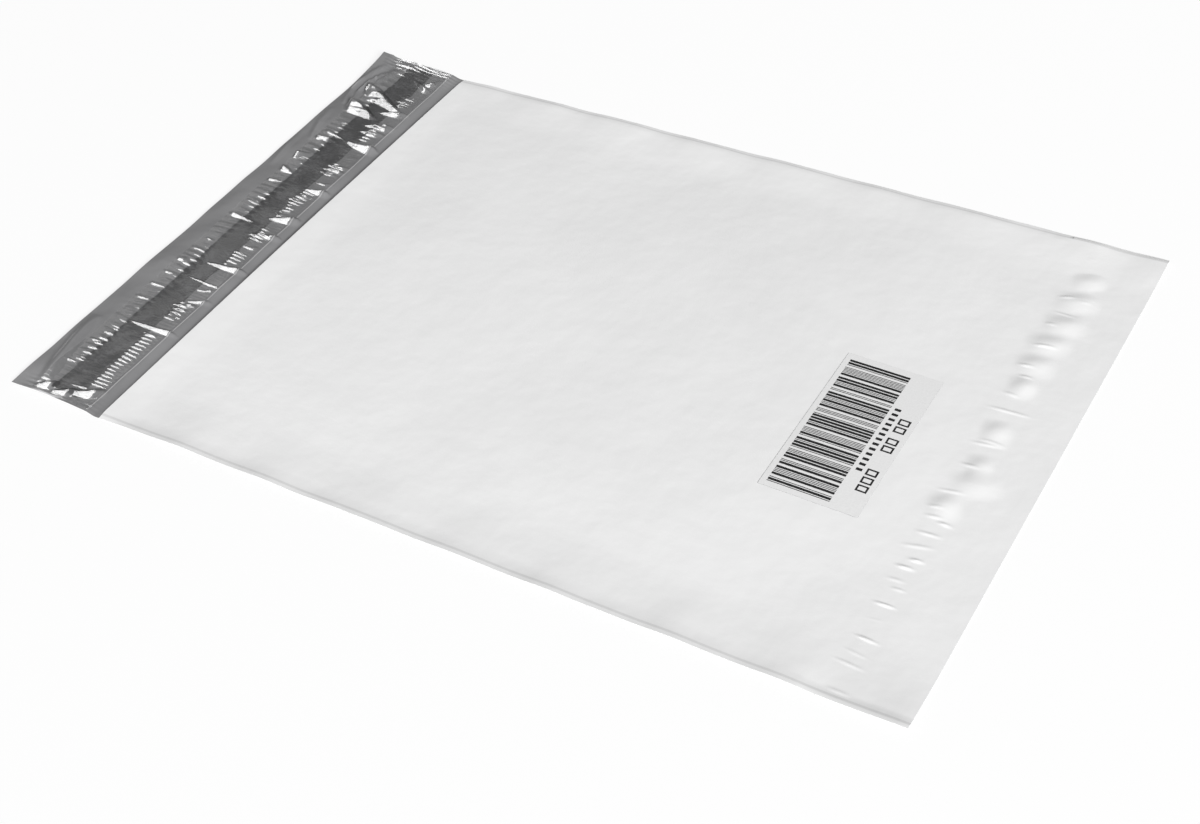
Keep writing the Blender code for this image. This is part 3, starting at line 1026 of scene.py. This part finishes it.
class MAILER_OT_stage(bpy.types.Operator):
    """White floor, soft lamps and the camera"""

    bl_idname = "mailer.stage"
    bl_label = "Stage"

    def execute(self, context):
        stage = context.scene.mailer_stage
        build_floor(stage)
        build_world()
        # The key rakes across the bag from the right and front, far off so that it is evenly lit, and
        # leaves no glare in the film. The cards light nothing and only show in gloss: the bright one in
        # the strip's folds, the dim one in the flat of the flap, the sheen one in views from behind
        place, width, height, power = KEY_LAMP
        key = soft_lamp("key", place, (0.0, 0.0, 0.0), width, height, power)
        key.visible_glossy = False
        for name, place, width, height, power in CARDS:
            card = soft_lamp(name, place, CARD_AIM, width, height, power)
            card.visible_diffuse = False
        place_camera(context, stage)
        context.scene.view_settings.view_transform = "Standard"
        return {"FINISHED"}


def build_floor(stage):
    """A wide square floor that the camera sees as white, apart from the bag's soft shadow."""
    mesh = bpy.data.meshes.new("floor")
    turns = ((-1, -1), (1, -1), (1, 1), (-1, 1))
    corners = [(FLOOR_REACH * x, FLOOR_REACH * y, FLOOR_HEIGHT) for x, y in turns]
    mesh.from_pydata(corners, [], [(0, 1, 2, 3)])
    made, tree = start_material("floor_paper")
    rays = add_node(tree, "LightPath")
    seen = add_node(
        tree, "Math", {"operation": "MAXIMUM"}, i0=rays.outputs["Is Camera Ray"],
        i1=rays.outputs["Is Transmission Ray"])
    seen = add_node(
        tree, "Math", {"operation": "MAXIMUM"}, i0=seen, i1=rays.outputs["Is Glossy Ray"])
    paper = add_node(tree, "BsdfDiffuse", Color=(*stage.floor, 1.0))
    glow = add_node(tree, "Emission", Strength=1.0)
    share = add_node(tree, "Math", {"operation": "MULTIPLY"}, i0=seen, i1=WHITE_SHARE)
    mix = add_node(tree, "MixShader", i0=share, i1=paper, i2=glow)
    add_node(tree, "OutputMaterial", Surface=mix)
    mesh.materials.append(made)
    floor = bpy.data.objects.new("floor", mesh)
    bpy.context.scene.collection.objects.link(floor)


def build_world():
    """Plain grey studio light from all round, seen by the camera as white."""
    world = bpy.data.worlds.new("studio")
    world.use_nodes = True
    tree = world.node_tree
    tree.nodes.clear()
    rays = add_node(tree, "LightPath")
    plain = (1.0, 1.0, 1.0, 1.0)
    fill = add_node(tree, "Background", Color=plain, Strength=FILL_STRENGTH)
    white = add_node(tree, "Background", Color=plain, Strength=1.0)
    mix = add_node(tree, "MixShader", i0=rays.outputs["Is Camera Ray"], i1=fill, i2=white)
    add_node(tree, "OutputWorld", Surface=mix)
    bpy.context.scene.world = world


def soft_lamp(name, place, aim, width, height, power):
    """A rectangular softbox at place that faces aim."""
    data = bpy.data.lights.new(name, "AREA")
    data.shape = "RECTANGLE"
    data.size = width
    data.size_y = height
    data.energy = power
    lamp = bpy.data.objects.new(name, data)
    lamp.location = place
    lamp.rotation_euler = (Vector(aim) - Vector(place)).to_track_quat("-Z", "Y").to_euler()
    bpy.context.scene.collection.objects.link(lamp)
    return lamp


def place_camera(context, stage):
    """The camera on a sphere round the point it looks at, turned by its roll."""
    data = bpy.data.cameras.new("camera")
    data.lens = stage.focal_length
    data.sensor_width = SENSOR_WIDTH
    camera = bpy.data.objects.new("camera", data)
    back = Vector((
        math.sin(stage.azimuth) * math.cos(stage.elevation),
        -math.cos(stage.azimuth) * math.cos(stage.elevation),
        math.sin(stage.elevation)))
    level = (-back).to_track_quat("-Z", "Y").to_matrix().to_4x4()
    turn = level @ Matrix.Rotation(-stage.roll, 4, "Z")
    camera.matrix_world = Matrix.Translation(Vector(CAMERA_AIM) + back * stage.distance) @ turn
    context.scene.collection.objects.link(camera)
    context.scene.camera = camera


class MAILER_PT_panel(bpy.types.Panel):
    """The mailer's pieces and their sizes"""

    bl_idname = "MAILER_PT_panel"
    bl_label = "Poly mailer"
    bl_space_type = "VIEW_3D"
    bl_region_type = "UI"
    bl_category = "Mailer"

    def draw(self, context):
        for operator in BUILDERS:
            self.layout.operator(operator.bl_idname)
        for name in GROUPS:
            group = getattr(context.scene, name)
            box = self.layout.box()
            for key in group.__annotations__:
                box.prop(group, key)


BUILDERS = (
    MAILER_OT_film_bag, MAILER_OT_glue_band, MAILER_OT_release_liner, MAILER_OT_label, MAILER_OT_stage)
GROUPS = {
    "mailer_film": FilmLook,
    "mailer_strip": StripLook,
    "mailer_label": LabelLook,
    "mailer_stage": StageLook,
}


def register():
    """Register the property groups, the operators and the panel."""
    for name, group in GROUPS.items():
        bpy.utils.register_class(group)
        setattr(bpy.types.Scene, name, bpy.props.PointerProperty(type=group))
    for kind in (*BUILDERS, MAILER_PT_panel):
        bpy.utils.register_class(kind)


def unregister():
    """Undo register."""
    for kind in (MAILER_PT_panel, *reversed(BUILDERS)):
        bpy.utils.unregister_class(kind)
    for name, group in GROUPS.items():
        delattr(bpy.types.Scene, name)
        bpy.utils.unregister_class(group)


def main():
    """Build every piece."""
    register()
    for operator in BUILDERS:
        group, name = operator.bl_idname.split(".")
        getattr(getattr(bpy.ops, group), name)()


if __name__ == "__main__":
    main()
